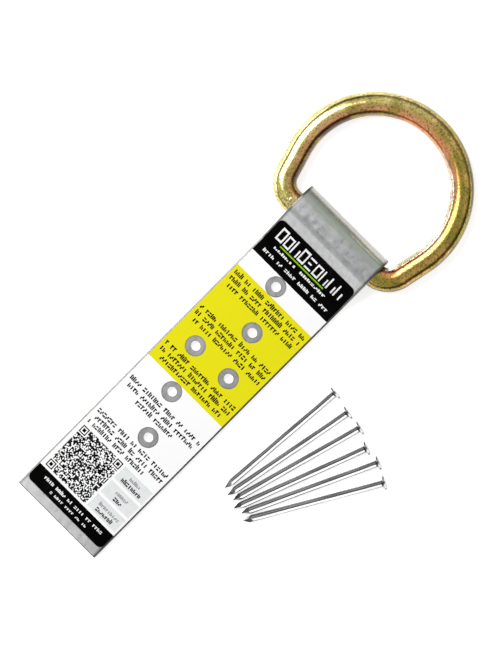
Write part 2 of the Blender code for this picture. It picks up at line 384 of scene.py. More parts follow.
def make_yellow_zinc():
    """Chromate over zinc: straw and olive on the open faces, copper pink where the film is thick inside.

    The colour is painted paler on the left of the ring and darker on the right, as painted highlight and
    painted shade from the key light. Painted shade also falls inside on the left and on the top and
    underside of the rod on the right, a painted dark reflection runs along the outer rim on the right, and
    a painted highlight lies inside on the right.
    """
    straw = (0.92, 0.75, 0.34, 1)
    olive = (0.62, 0.53, 0.17, 1)
    deep_olive = (0.30, 0.24, 0.022, 1)
    bronze = (0.66, 0.37, 0.09, 1)
    copper = (0.72, 0.25, 0.10, 1)
    # Near-black for dark specks in the film, and for painted shade and a painted dark reflection on the
    # rod.
    dark_specks_and_painted_shade = (0.025, 0.014, 0.003, 1)
    # Near-white for a painted highlight: the floor's reflection inside the ring on the right.
    worn = (0.98, 0.92, 0.82, 1)
    material, tree, shader = new_material("yellow_zinc", Metallic=1.0, Coat_Weight=0.6, Coat_Roughness=0.08)
    rod = flow(tree, "ShaderNodeAttribute", None, "Vector", attribute_name="rod_place")
    side = flow(tree, "ShaderNodeAttribute", None, "Fac", attribute_name="inner_side")
    grain = use_grain(tree, rod, 1150.0, 120.0, 520.0)
    coords = flow(tree, "ShaderNodeTexCoord", None, "Object")
    across = flow(tree, "ShaderNodeSeparateXYZ", {"Vector": coords}, "X")
    wander = calc(tree, "MULTIPLY_ADD", calc(tree, "SUBTRACT", grain["Blotches"], 0.5), 0.03, across)
    # depth rises from the left of the ring to the right: it paints the film paler on the left and darker on
    # the right, as painted highlight and painted shade.
    depth = stretch_range(tree, wander, -0.045, 0.020, 0, 1)
    patches = stretch_range(tree, grain["Blotches"], 0.42, 0.66, 0, 1)
    # The paler mix below is the painted lit left side, and the darker mix the painted shaded right side.
    lit_side_film = blend_colours(tree, patches, olive, straw)
    thick = blend_colours(tree, patches, deep_olive, bronze)
    film = blend_colours(tree, depth, lit_side_film, thick)
    shifted = calc(tree, "MULTIPLY_ADD", calc(tree, "SUBTRACT", grain["Streaks"], 0.5), 0.5, side)
    warm = stretch_range(tree, shifted, 0.05, 0.50, 0, 0.92)
    outer = stretch_range(tree, shifted, -0.78, -0.90, 0, 0.95)
    inner = stretch_range(tree, shifted, 0.52, 0.72, 0, 0.96)
    left_side_shade = stretch_range(tree, wander, -0.010, -0.032, 0, 1)
    right_side_glint = stretch_range(tree, wander, 0.004, 0.024, 0, 0.9)
    crest = stretch_range(tree, calc(tree, "ABSOLUTE", shifted), 0.05, 0.30, 0.62, 0)
    cloud = flow(tree, "ShaderNodeTexNoise", {"Vector": rod, "Scale": 62.0, "Detail": 2.0})
    for share, colour in (
        (warm, copper),
        # painted dark reflection along the outer rim on the right
        (calc(tree, "MULTIPLY", outer, depth), dark_specks_and_painted_shade),
        # painted shade inside the ring on the left
        (calc(tree, "MULTIPLY", inner, left_side_shade), dark_specks_and_painted_shade),
        # painted highlight inside the ring on the right
        (calc(tree, "MULTIPLY", inner, right_side_glint), worn),
        # painted shade on the top and underside of the rod on the right
        (calc(tree, "MULTIPLY", crest, depth), deep_olive),
        (stretch_range(tree, cloud, 0.49, 0.64, 0, 0.66), deep_olive),
        (stretch_range(tree, grain["Grain"], 0.50, 0.64, 0, 0.70), dark_specks_and_painted_shade),
    ):
        film = blend_colours(tree, share, film, colour)
    tree.links.new(film, shader.inputs["Base Color"])
    tree.links.new(stretch_range(tree, grain["Grain"], 0.3, 0.7, 0.14, 0.30), shader.inputs["Roughness"])
    rough = calc(tree, "MULTIPLY_ADD", grain["Blotches"], 0.6, grain["Grain"])
    bump(tree, shader, rough, 0.34, 0.00012)
    return material


def store(tree, geometry, name, value, data_type):
    """Keeps a value on each point of the geometry, under a name."""
    values = {"Geometry": geometry, "Name": name, "Value": value}
    return flow(tree, "GeometryNodeStoreNamedAttribute", values, data_type=data_type)


def sweep_rod_tree(material):
    """Sweeps a round rod along the path, with its length along and its place in the section on it."""
    tree, given, end = new_tree(
        "bent_rod",
        [
            ("Rod Radius", "NodeSocketFloat", 0.006),
            ("Sides", "NodeSocketInt", 32),
            ("Hammer Depth", "NodeSocketFloat", 0.0),
        ],
    )
    path = flow(tree, "GeometryNodeMeshToCurve", {"Mesh": given["Geometry"]})
    path = flow(tree, "GeometryNodeSetCurveNormal", {"Curve": path}, mode="Z_UP")
    along = flow(tree, "GeometryNodeSplineParameter", None, "Length")
    path = store(tree, path, "rod_along", along, "FLOAT")
    round_size = {"Resolution": given["Sides"], "Radius": given["Rod Radius"]}
    section = flow(tree, "GeometryNodeCurvePrimitiveCircle", round_size, mode="RADIUS")
    place = flow(tree, "GeometryNodeInputPosition")
    section = store(tree, section, "rod_section", place, "FLOAT_VECTOR")
    rod = flow(tree, "GeometryNodeCurveToMesh", {"Curve": path, "Profile Curve": section})
    dents = flow(tree, "ShaderNodeTexNoise", {"Scale": 160.0, "Detail": 1.0})
    depth = calc(tree, "MULTIPLY", calc(tree, "SUBTRACT", dents, 0.5), given["Hammer Depth"])
    normal = flow(tree, "GeometryNodeInputNormal")
    push = flow(tree, "ShaderNodeVectorMath", {0: normal, "Scale": depth}, operation="SCALE")
    rod = flow(tree, "GeometryNodeSetPosition", {"Geometry": rod, "Offset": push})
    rod = flow(tree, "GeometryNodeSetShadeSmooth", {"Geometry": rod})
    finish_tree(tree, rod, end, material)
    return tree


def from_segment(point, start, end):
    """Distance from a point to a line from start to end, all in a plane."""
    line = end - start
    share = max(0.0, min(1.0, (point - start).dot(line) / line.length_squared))
    return (point - start - line * share).length


def work_ring(mesh):
    """Raises the butt weld on the bar and cuts the nicks, in the ring's plane, then puts it in place."""
    section = [Vector(item.vector) for item in mesh.attributes["rod_section"].data]
    along = [item.value for item in mesh.attributes["rod_along"].data]
    radius = ROD / 2
    inner = mesh.attributes.new("inner_side", "FLOAT", "POINT")
    rod = mesh.attributes.new("rod_place", "FLOAT_VECTOR", "POINT")
    arch = Vector((0, RING_DEPTH - ARCH_RADIUS, 0))
    normals = [vertex.normal.copy() for vertex in mesh.vertices]
    for vertex, cross, run, normal in zip(mesh.vertices, section, along, normals):
        flat = vertex.co.to_2d()
        toward = (arch - vertex.co).normalized()
        inner.data[vertex.index].value = normal.dot(Vector((toward.x, toward.y, 0)).normalized())
        rod.data[vertex.index].vector = (run, cross.x, cross.y)
        if abs(flat.y) < radius * 1.1:
            weld = math.exp(-((flat.x / WELD_LENGTH) ** 2))
            vertex.co += normal * WELD_HEIGHT * weld
        if normal.z > 0.2:
            for start, end, depth in NICKS:
                off = from_segment(flat, Vector(start), Vector(end)) / NICK_WIDTH
                lip = 0.35 * math.exp(-((off - 2.1) ** 2))
                vertex.co += normal * depth * (lip - math.exp(-(off**2)))
    mesh.attributes.remove(mesh.attributes["rod_section"])
    mesh.attributes.remove(mesh.attributes["rod_along"])
    mesh.transform(RING_PLACE)


ring_line = bpy.data.meshes.new("ring_line")
corners = [(x, y, 0) for x, y in ring_path()]
ring_line.from_pydata(corners, [(i, (i + 1) % len(corners)) for i in range(len(corners))], [])
ring = grow(
    "d_ring_rod",
    ring_line,
    sweep_rod_tree(make_yellow_zinc()),
    {"Rod Radius": ROD / 2, "Sides": ROD_SIDES, "Hammer Depth": HAMMER_DEPTH},
)
work_ring(ring.data)
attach(ring, "d_ring")
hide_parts("d_ring")


# Strap: one sheet of 2 mm galvanised steel, sheared, punched through both leaves for the nails and
# folded back on itself round the bar of the ring. Its upper leaf comes down a ramp to the lower one.
SHEET = 0.0020
LEAF_GAP = 0.0003
BEND_RADIUS = FOLD_RADIUS - SHEET / 2  # middle of the sheet
BAR_CLEARANCE = BEND_RADIUS - SHEET / 2 - ROD / 2
RAMP_ANGLE = math.radians(35)
FOOT_RADIUS = 0.010
CROWN_Y = BAR_Y - SKEW_ROOM - BAR_CLEARANCE
UPPER_Z = SHEET * 1.5 + LEAF_GAP
LEAF_TOP = UPPER_Z + SHEET / 2
BOTH_BENDS = BEND_RADIUS + FOOT_RADIUS
RAMP_DROP = strap_high.z - SHEET / 2 - UPPER_Z - BOTH_BENDS * (1 - math.cos(RAMP_ANGLE))
RAMP_RUN = RAMP_DROP / math.tan(RAMP_ANGLE) + BOTH_BENDS * math.sin(RAMP_ANGLE)
FOOT_Y = CROWN_Y - RAMP_RUN
ROLL_OVER = 0.0007  # rounding that the shears leave on the outer face's edges
BURR_EDGE = 0.00015
END_ROUND = 0.00025
HOLE_RADIUS = 0.00253
DISH_RADIUS = 0.0053  # the flat that the punch's stripper presses round the hole
DISH_DEPTH = 0.00003
HOLES = tuple(
    (-0.0004 + across, FOOT_Y - 0.0123 - row * 0.0254)
    for row, across in ((0, -0.004), (1, 0.004), (2, -0.012), (2, 0.012), (3, -0.004), (4, 0.004))
)
# Press-brake lines on the fold: place along Y, from and to across it, depth, width.
PRESS_LINES = (
    (0.10435, 0.0030, 0.0262, 0.00024, 0.00030),
    (0.10395, -0.0150, -0.0120, 0.00018, 0.00030),
    (0.10360, -0.0262, 0.0262, 0.00004, 0.00045),
    (0.10140, 0.0060, 0.0200, 0.00003, 0.00030),
)


def fold_path(fine):
    """The middle of the sheet from the lower free end round the fold to the upper one, as (y, z)."""
    free = strap_low.y
    lower = [(free + END_ROUND * t, SHEET / 2) for t in (0, 0.3, 1, 2.5)]
    lower += [(free + (NOSE_Y - free) * i / 24, SHEET / 2) for i in range(1, 24)]
    nose = bend((NOSE_Y, FOLD_RADIUS), BEND_RADIUS, -math.pi / 2, math.pi / 2, fine)
    crown = bend((CROWN_Y, FOLD_RADIUS), BEND_RADIUS, math.pi / 2, math.pi / 2 + RAMP_ANGLE, 0.0005)
    foot = (FOOT_Y, UPPER_Z + FOOT_RADIUS)
    ramp_foot = bend(foot, FOOT_RADIUS, RAMP_ANGLE - math.pi / 2, -math.pi / 2, 0.0006)
    upper = [(FOOT_Y + (free - FOOT_Y) * i / 24, UPPER_Z) for i in range(1, 24)]
    upper += [(free + END_ROUND * t, UPPER_Z) for t in (2.5, 1, 0.3, 0)]
    return lower + nose + crown + ramp_foot + upper


def sheet_section():
    """Once round the sheet's cross-section: (across, outward) and how near it is to a sheared edge."""
    side = strap_high.x
    points = []
    for centre_x, centre_n, radius, start in (
        (-side + ROLL_OVER, SHEET / 2 - ROLL_OVER, ROLL_OVER, math.pi),
        (side - ROLL_OVER, SHEET / 2 - ROLL_OVER, ROLL_OVER, math.pi / 2),
        (side - BURR_EDGE, -SHEET / 2 + BURR_EDGE, BURR_EDGE, 0),
        (-side + BURR_EDGE, -SHEET / 2 + BURR_EDGE, BURR_EDGE, -math.pi / 2),
    ):
        steps = 6 if radius == ROLL_OVER else 2
        for i in range(steps + 1):
            angle = start - math.pi / 2 * i / steps
            points.append((centre_x + radius * math.cos(angle), centre_n + radius * math.sin(angle), 1.0))
        if start == math.pi:
            spans = 46
            flat = 2 * (side - ROLL_OVER) / spans
            points += [(-side + ROLL_OVER + flat * i, SHEET / 2, 0.0) for i in range(1, spans)]
    return points


def press_depth(x, y):
    """How deep the press brake has marked the fold at a place on its outer face."""
    depth = 0.0
    for line_y, start, end, deep, width in PRESS_LINES:
        ends = min(1.0, max(0.0, (x - start) / 0.002)) * min(1.0, max(0.0, (end - x) / 0.002))
        wander = 0.00012 * math.sin(x * 900) + 0.00008 * math.sin(x * 2300 + 1)
        depth += deep * ends * math.exp(-(((y - line_y - wander) / width) ** 2))
    return depth


def turn_at(path, i):
    """The outward direction of a path of (y, z) at its point i."""
    before = path[max(0, i - 1)]
    after = path[min(len(path) - 1, i + 1)]
    run = Vector((after[0] - before[0], after[1] - before[1])).normalized()
    return Vector((run.y, -run.x))


def bridge(bm, rings):
    """Faces between each two neighbouring rings of corners."""
    for first, second in zip(rings, rings[1:]):
        for i in range(len(first)):
            j = (i + 1) % len(first)
            bm.faces.new((first[i], first[j], second[j], second[i]))


def finish_mesh(name, bm):
    """Turns the faces of a closed shape outward, and makes it a mesh."""
    bmesh.ops.recalc_face_normals(bm, faces=bm.faces)
    mesh = bpy.data.meshes.new(name)
    bm.to_mesh(mesh)
    bm.free()
    return mesh


def strap_mesh():
    """The sheet's cross-section carried along the fold, with the press-brake lines in its outer face."""
    path = fold_path(0.00022)
    section = sheet_section()
    bm = bmesh.new()
    edge = bm.verts.layers.float.new("sheared_edge")
    rings = []
    for i, (y, z) in enumerate(path):
        out = turn_at(path, i)
        from_end = min(i, len(path) - 1 - i)
        inset = END_ROUND * (1.0, 0.3, 0.0)[from_end] if from_end < 3 else 0.0
        rings.append([])
        for x, n, near in section:
            x -= math.copysign(min(inset, abs(x)), x)
            n -= math.copysign(inset, n)
            if n > 0 and y > NOSE_Y and z > FOLD_RADIUS:
                n -= press_depth(x, y + out.x * n)
            vert = bm.verts.new((x, y + out.x * n, z + out.y * n))
            vert[edge] = max(near, 1.0 if from_end < 3 else 0.0)
            rings[-1].append(vert)
    bridge(bm, rings)
    bm.faces.new(rings[0])
    bm.faces.new(reversed(rings[-1]))
    return finish_mesh("folded_strap", bm)


def turned_cutters(name, profile, places, segments=56):
    """One closed turned shape at each place. The profile is (radius, z), from axis to axis."""
    bm = bmesh.new()
    angles = [2 * math.pi * i / segments for i in range(segments)]
    for x, y in places:
        foot = bm.verts.new((x, y, profile[0][1]))
        rings = []
        for radius, z in profile[1:-1]:
            around = [(x + radius * math.cos(a), y + radius * math.sin(a), z) for a in angles]
            rings.append([bm.verts.new(corner) for corner in around])
        top = bm.verts.new((x, y, profile[-1][1]))
        for i in range(segments):
            j = (i + 1) % segments
            bm.faces.new((foot, rings[0][j], rings[0][i]))
            bm.faces.new((top, rings[-1][i], rings[-1][j]))
        bridge(bm, rings)
    return show(name, finish_mesh(name, bm))


def cut_plain(name, mesh, cutters):
    """The mesh with each (operation, cutter) done to it, as an object with a plain mesh."""
    blank = show(name + "_blank", mesh)
    for operation, cutter in cutters:
        boolean = blank.modifiers.new(cutter.name, "BOOLEAN")
        boolean.operation = operation
        boolean.solver = "EXACT"
        boolean.object = cutter
    piece = plain_copy(name, blank)
    for _, cutter in cutters:
        bpy.data.objects.remove(cutter)
    return piece


def smooth_but_for_edges(mesh, degrees):
    """Smooth shading, except where two faces meet at more than this angle."""
    mesh.shade_smooth()
    mesh.set_sharp_from_angle(angle=math.radians(degrees))


def near_holes(tree, coords):
    """Distance over the leaf to the nearest nail hole."""
    nearest = None
    kind = "ShaderNodeVectorMath"
    flat = flow(tree, kind, {0: coords, 1: (1, 1, 0)}, operation="MULTIPLY")
    for x, y in HOLES:
        reach = flow(tree, kind, {0: flat, 1: (x, y, 0)}, "Value", operation="DISTANCE")
        nearest = reach if nearest is None else calc(tree, "MINIMUM", nearest, reach)
    return nearest


def make_galvanised():
    """Hot-dip zinc, rolled smooth: fine lengthwise streaks, greenish where it is folded, dark where cut.
    Painted shade darkens the front of the fold's nose and the rolled-over edges, a painted shadow rings
    each hole at the film's edge, and a painted sheen lightens the free end.
    """
    bright = (0.72, 0.725, 0.73, 1)
    dull = (0.54, 0.545, 0.55, 1)
    green = (0.54, 0.61, 0.50, 1)
    # Dark for the cut steel of the sheared edges; on the rolled-over edges of the outer face it is painted
    # shade.
    cut_steel_and_edge_shade = (0.10, 0.095, 0.075, 1)
    # Dark grey for painted shade on the front of the fold's nose and for a painted shadow of the film's
    # edge round each hole.
    painted_shade_grey = (0.33, 0.33, 0.33, 1)
    # Near white that paints the free end lighter, as a painted sheen.
    free_end_sheen = (0.97, 0.97, 0.96, 1)
    rubbed = (0.52, 0.52, 0.52, 1)
    material, tree, shader = new_material("galvanised_steel", Metallic=1.0)
    coords = flow(tree, "ShaderNodeTexCoord", None, "Object")
    rolled = {"Vector": coords, "Rotation": (0, 0, math.radians(78))}
    grain = use_grain(tree, flow(tree, "ShaderNodeMapping", rolled), 1300.0, 330.0, 420.0)
    blotches = grain["Blotches"]
    streaks = grain["Streaks"]
    along = flow(tree, "ShaderNodeSeparateXYZ", {"Vector": coords}, "Y")
    wander = calc(tree, "MULTIPLY_ADD", calc(tree, "SUBTRACT", blotches, 0.5), 0.008, along)
    rise = stretch_range(tree, wander, 0.0985, 0.1020, 0, 1)
    fall = stretch_range(tree, wander, 0.1052, 0.1070, 1, 0.35)
    patchy = stretch_range(tree, blotches, 0.30, 0.60, 0.35, 1)
    stain = calc(tree, "MULTIPLY", calc(tree, "MULTIPLY", rise, fall), patchy)
    nose_shade_start = stretch_range(tree, along, 0.1060, 0.1066, 0, 0.85)
    nose_shade_end = stretch_range(tree, along, 0.1080, 0.1086, 1, 0)
    distance = near_holes(tree, coords)
    inside = stretch_range(tree, distance, DISH_RADIUS - 0.0006, DISH_RADIUS - 0.0002, 0, 0.9)
    outside = stretch_range(tree, distance, DISH_RADIUS + 0.0006, DISH_RADIUS + 0.0009, 1, 0)
    edge = flow(tree, "ShaderNodeAttribute", None, "Fac", attribute_name="sheared_edge")
    zinc = blend_colours(tree, stretch_range(tree, blotches, 0.30, 0.70, 0, 1), dull, bright)
    for share, colour in (
        (stretch_range(tree, streaks, 0.50, 0.75, 0, 0.5), dull),
        (stain, green),
        # painted shade along the front of the fold's nose
        (calc(tree, "MULTIPLY", nose_shade_start, nose_shade_end), painted_shade_grey),
        # painted sheen on the free end
        (stretch_range(tree, along, -0.1020, -0.1032, 0, 1), free_end_sheen),
        (stretch_range(tree, distance, DISH_RADIUS - 0.0001, DISH_RADIUS + 0.0001, 0.9, 0), rubbed),
        # painted shadow of the film's punched edge round each hole
        (calc(tree, "MULTIPLY", inside, outside), painted_shade_grey),
        # cut steel on the sheared edges, and painted shade on the rolled-over edges
        (calc(tree, "MULTIPLY", edge, 0.85), cut_steel_and_edge_shade),
    ):
        zinc = blend_colours(tree, share, zinc, colour)
    tree.links.new(zinc, shader.inputs["Base Color"])
    sheen = calc(tree, "MULTIPLY_ADD", streaks, 0.14, 0.17)
    tree.links.new(calc(tree, "MULTIPLY_ADD", blotches, 0.12, sheen), shader.inputs["Roughness"])
    rough = calc(tree, "MULTIPLY_ADD", streaks, 1.5, grain["Grain"])
    bump(tree, shader, rough, 0.14, 0.00008)
    return material


punch = turned_cutters(
    "punch",
    [
        (0, -0.001),
        (HOLE_RADIUS + 0.0002, -0.001),
        (HOLE_RADIUS + 0.0002, 0),
        (HOLE_RADIUS, 0.0002),
        (HOLE_RADIUS, LEAF_TOP - 0.00012),
        (HOLE_RADIUS + 0.00006, LEAF_TOP - DISH_DEPTH),
        (DISH_RADIUS, LEAF_TOP - DISH_DEPTH),
        (DISH_RADIUS, LEAF_TOP + 0.001),
        (0, LEAF_TOP + 0.001),
    ],
    HOLES,
)
strap = cut_plain("folded_strap", strap_mesh(), [("DIFFERENCE", punch)])
sheared = strap.data.attributes["sheared_edge"].data
for vertex in strap.data.vertices:
    if min(math.dist(vertex.co[:2], hole) for hole in HOLES) < DISH_RADIUS + 0.00005:
        sheared[vertex.index].value = 0.0
strap.data.materials.append(make_galvanised())
smooth_but_for_edges(strap.data, 28)
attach(strap, "strap")
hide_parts("strap")


# Label film: a printed polyester film with rounded corners, punched round the nail holes and stuck to
# the upper leaf. It follows the leaf up the ramp, and its grounds are printed black, white and yellow.
FILM = 0.00020
FILM_LIFT = 0.00004  # glue line under it
LABEL_SIDE = 0.0268
LABEL_TOP = 0.0852
LABEL_END = -0.1026
LABEL_CORNER = 0.0030
LABEL_PUNCH = 0.00545
HEADER_END = 0.0632
YELLOW_TOP = 0.0524
YELLOW_END = -0.0131
FOOTER_TOP = -0.0927


def film_path():
    """The middle of the film along the outside of the upper leaf, with a point at each change of ground."""
    lift = SHEET / 2 + FILM_LIFT + FILM / 2
    upright = math.pi / 2
    crown = bend((CROWN_Y, FOLD_RADIUS), BEND_RADIUS + lift, upright, upright + RAMP_ANGLE, 0.0005)
    foot = (FOOT_Y, UPPER_Z + FOOT_RADIUS)
    ramp_foot = bend(foot, FOOT_RADIUS - lift, RAMP_ANGLE - upright, -upright, 0.0005)
    changes = (HEADER_END, YELLOW_TOP, YELLOW_END, FOOTER_TOP, strap_low.y)
    return crown + ramp_foot + [(y, UPPER_Z + lift) for y in changes]


def film_mesh():
    """A band as wide as the strap along the film's path."""
    bm = bmesh.new()
    rings = []
    path = film_path()
    for i, (y, z) in enumerate(path):
        out = turn_at(path, i) * FILM / 2
        corners = [(strap_high.x * a, b) for a, b in ((-1, -1), (1, -1), (1, 1), (-1, 1))]
        rings.append([bm.verts.new((x, y + out.x * b, z + out.y * b)) for x, b in corners])
    bridge(bm, rings)
    bm.faces.new(rings[0])
    bm.faces.new(reversed(rings[-1]))
    return finish_mesh("label_film", bm)


def label_outline():
    """A tall plate with the label's outline."""
    bm = bmesh.new()
    corners = bmesh.ops.create_cube(bm, size=1)["verts"]
    bmesh.ops.scale(bm, verts=corners, vec=(2 * LABEL_SIDE, LABEL_TOP - LABEL_END, 0.08))
    upright = [e for e in bm.edges if abs(e.verts[0].co.z - e.verts[1].co.z) > 0.04]
    bmesh.ops.bevel(bm, geom=upright, offset=LABEL_CORNER, segments=8, profile=0.5, affect="EDGES")
    bmesh.ops.translate(bm, verts=bm.verts, vec=(0, (LABEL_TOP + LABEL_END) / 2, 0))
    return show("label_outline", finish_mesh("label_outline", bm))


def make_film_wear():
    """Handling marks on a printed film: soft smudges and a few fine scratches."""
    group, given, result = new_group(
        "film_wear",
        [("Smudge Scale", "Float", 60.0), ("Scratch Scale", "Float", 35.0)],
        [("Smudges", "Float"), ("Scratches", "Float")],
    )
    coords = flow(group, "ShaderNodeTexCoord", None, "Object")
    kind = "ShaderNodeTexNoise"
    smudges = flow(group, kind, {"Vector": coords, "Scale": given["Smudge Scale"]})
    stretched = {"Vector": coords, "Rotation": (0, 0, 0.6), "Scale": (1, 0.06, 1)}
    turned = flow(group, "ShaderNodeMapping", stretched)
    fine = {"Detail": 6.0, "Distortion": 0.3}
    lines = flow(group, kind, {"Vector": turned, "Scale": given["Scratch Scale"], **fine})
    near = calc(group, "ABSOLUTE", calc(group, "SUBTRACT", lines, 0.5))
    group.links.new(smudges, result.inputs["Smudges"])
    group.links.new(stretch_range(group, near, 0.0, 0.006, 1, 0), result.inputs["Scratches"])
    return group


film_wear = make_film_wear()


def make_film(name, colour, worn_colour):
    """A satin film in one printed colour, which wears toward another."""
    material, tree, shader = new_material(name, Specular_IOR_Level=0.03)
    wear = use_group(tree, film_wear, {})
    handled = stretch_range(tree, wear["Smudges"], 0.5, 0.7, 0, 0.35)
    share = calc(tree, "MULTIPLY", wear["Scratches"], handled)
    tree.links.new(blend_colours(tree, share, colour, worn_colour), shader.inputs["Base Color"])
    tree.links.new(stretch_range(tree, wear["Smudges"], 0.3, 0.7, 0.34, 0.50), shader.inputs["Roughness"])
    bump(tree, shader, wear["Smudges"], 0.05, 0.0002)
    return material


grounds = (
    make_film("film_white", (0.93, 0.93, 0.93, 1), (0.62, 0.62, 0.61, 1)),
    make_film("film_black", (0.0004, 0.0004, 0.0004, 1), (0.03, 0.03, 0.03, 1)),
    make_film("film_yellow", (0.77, 0.715, 0.009, 1), (0.56, 0.52, 0.16, 1)),
    # Dark grey for the film's cut edges, as painted shade for the outline round the punched holes.
    make_film("film_edge", (0.22, 0.22, 0.22, 1), (0.3, 0.3, 0.3, 1)),
)
WHITE, BLACK, YELLOW, EDGE = range(4)

punch_profile = [(0, -0.04), (LABEL_PUNCH, -0.04), (LABEL_PUNCH, 0.04), (0, 0.04)]
label_punch = turned_cutters("label_punch", punch_profile, HOLES)
film_cuts = [("INTERSECT", label_outline()), ("DIFFERENCE", label_punch)]
film = cut_plain("label_film", film_mesh(), film_cuts)
film.data.materials.clear()
for ground in grounds:
    film.data.materials.append(ground)
for face in film.data.polygons:
    y = face.center.y
    # The film's upright cut edges take the dark grey of painted shade.
    if abs(face.normal.z) < 0.3:
        face.material_index = EDGE
    elif y > HEADER_END or y < FOOTER_TOP:
        face.material_index = BLACK
    elif YELLOW_END < y < YELLOW_TOP:
        face.material_index = YELLOW
    else:
        face.material_index = WHITE
smooth_but_for_edges(film.data, 28)
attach(film, "strap")
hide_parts("label")


# Label printing: lines of small print, a title band, a green rule, three grey boxes and a square of
# blocks, all screened onto the film. The print is plain strokes that stand for words, and spells none.
INK = 0.00003
PRINT_SEED = 11


def add_bars(tree, bars):
    """Unit-thick bars (x, y, width, height) joined to one shape."""
    shape = tree.nodes.new("GeometryNodeJoinGeometry")
    for x, y, width, height in bars:
        bar = flow(tree, "GeometryNodeMeshCube", {"Size": (width, height, 1)})
        moved = flow(tree, "GeometryNodeTransform", {"Geometry": bar, "Translation": (x, y, 0)})
        tree.links.new(moved, shape.inputs["Geometry"])
    return flow(tree, "GeometryNodeGeometryToInstance", {"Geometry": shape.outputs["Geometry"]})


def press_on_film(tree, geometry, film_object):
    """Drops every point straight down onto the film, and keeps its own height above it."""
    named = {"Object": film_object}
    target = flow(tree, "GeometryNodeObjectInfo", named, "Geometry", transform_space="RELATIVE")
    place = flow(tree, "GeometryNodeInputPosition")
    over = flow(tree, "ShaderNodeVectorMath", {0: place, 1: (0, 0, 0.1)}, operation="ADD")
    aim = {"Source Position": over, "Ray Direction": (0, 0, -1), "Ray Length": 0.2}
    hit = flow(tree, "GeometryNodeRaycast", {"Target Geometry": target, **aim}, "Hit Position")
    height = flow(tree, "ShaderNodeSeparateXYZ", {"Vector": hit}, "Z")
    lift = flow(tree, "ShaderNodeCombineXYZ", {"Z": height})
    return flow(tree, "GeometryNodeSetPosition", {"Geometry": geometry, "Offset": lift})


def print_lines_tree(name, material, shapes):
    """Each point is a line of print: it sets strokes along the line, leaves word spaces, and inks them."""
    tree, given, end = new_tree(
        name,
        [
            ("Film", "NodeSocketObject", None),
            ("Ink", "NodeSocketFloat", 0.00003),
            ("Seed", "NodeSocketInt", 0),
        ],
    )

    def read(label):
        return flow(tree, "GeometryNodeInputNamedAttribute", {"Name": label}, data_type="FLOAT")

    def pick(low, high, extra):
        seed = calc(tree, "ADD", given["Seed"], extra)
        return flow(tree, "FunctionNodeRandomValue", {2: low, 3: high, "Seed": seed}, 1, data_type="FLOAT")

    repeated = add_node(
        tree,
        "GeometryNodeDuplicateElements",
        {"Geometry": given["Geometry"], "Amount": read("strokes")},
        domain="POINT",
    )
    number = repeated.outputs["Duplicate Index"]
    along = calc(tree, "MULTIPLY", calc(tree, "ADD", number, 0.5), read("pitch"))
    shift = flow(tree, "ShaderNodeCombineXYZ", {"X": along})
    spread = {"Geometry": repeated.outputs["Geometry"], "Offset": shift}
    strokes = flow(tree, "GeometryNodeSetPosition", spread)
    beat = calc(tree, "FRACT", calc(tree, "MULTIPLY_ADD", number, 0.618, read("word_start")))
    space = calc(tree, "LESS_THAN", beat, read("spaces"))
    left_out = {"Geometry": strokes, "Selection": space}
    words = flow(tree, "GeometryNodeDeleteGeometry", left_out, domain="POINT")
    marks = tree.nodes.new("GeometryNodeJoinGeometry")
    for bars in shapes:
        tree.links.new(add_bars(tree, bars), marks.inputs["Geometry"])
    wide = calc(tree, "MULTIPLY", read("pitch"), pick(0.92, 1.04, 1))
    capital = calc(tree, "GREATER_THAN", pick(0.0, 1.0, 2), 0.66)
    stretch = calc(tree, "ADD", 0.90, calc(tree, "MULTIPLY", read("rough"), capital))
    tall = calc(tree, "MULTIPLY", read("letter"), stretch)
    placed = flow(
        tree,
        "GeometryNodeInstanceOnPoints",
        {
            "Points": words,
            "Instance": marks.outputs["Geometry"],
            "Pick Instance": True,
            "Instance Index": calc(tree, "FLOOR", pick(0.0, len(shapes) - 0.001, 3)),
            "Scale": flow(tree, "ShaderNodeCombineXYZ", {"X": wide, "Y": tall, "Z": given["Ink"]}),
        },
    )
    real = flow(tree, "GeometryNodeRealizeInstances", {"Geometry": placed})
    finish_tree(tree, press_on_film(tree, real, given["Film"]), end, material)
    return tree


# Strokes that stand for letters, in a box one wide and one tall whose foot is at zero.
SMALL_STROKES = (
    ((-0.25, 0.42, 0.38, 0.84), (0.27, 0.27, 0.36, 0.54)),
    ((0.0, 0.42, 0.42, 0.84),),
    ((0.0, 0.16, 0.86, 0.32), (0.0, 0.70, 0.86, 0.28)),
    ((-0.25, 0.52, 0.38, 1.04), (0.25, 0.42, 0.38, 0.84)),
    ((-0.22, 0.25, 0.42, 0.50), (0.22, 0.58, 0.44, 0.52)),
    ((0.0, 0.70, 0.86, 0.28), (-0.1, 0.30, 0.40, 0.60)),
)
TITLE_STROKES = (
    ((-0.34, 0.5, 0.17, 1.0), (0.34, 0.5, 0.17, 1.0), (0, 0.08, 0.52, 0.15), (0, 0.92, 0.52, 0.15)),
    ((0.0, 0.08, 0.86, 0.15), (0.0, 0.92, 0.86, 0.15), (-0.10, 0.50, 0.46, 0.14)),
    ((-0.34, 0.5, 0.17, 1.0), (0.34, 0.30, 0.17, 0.60)),
    ((-0.34, 0.24, 0.17, 0.48), (0.08, 0.92, 0.70, 0.15), (0.34, 0.24, 0.17, 0.48)),
)


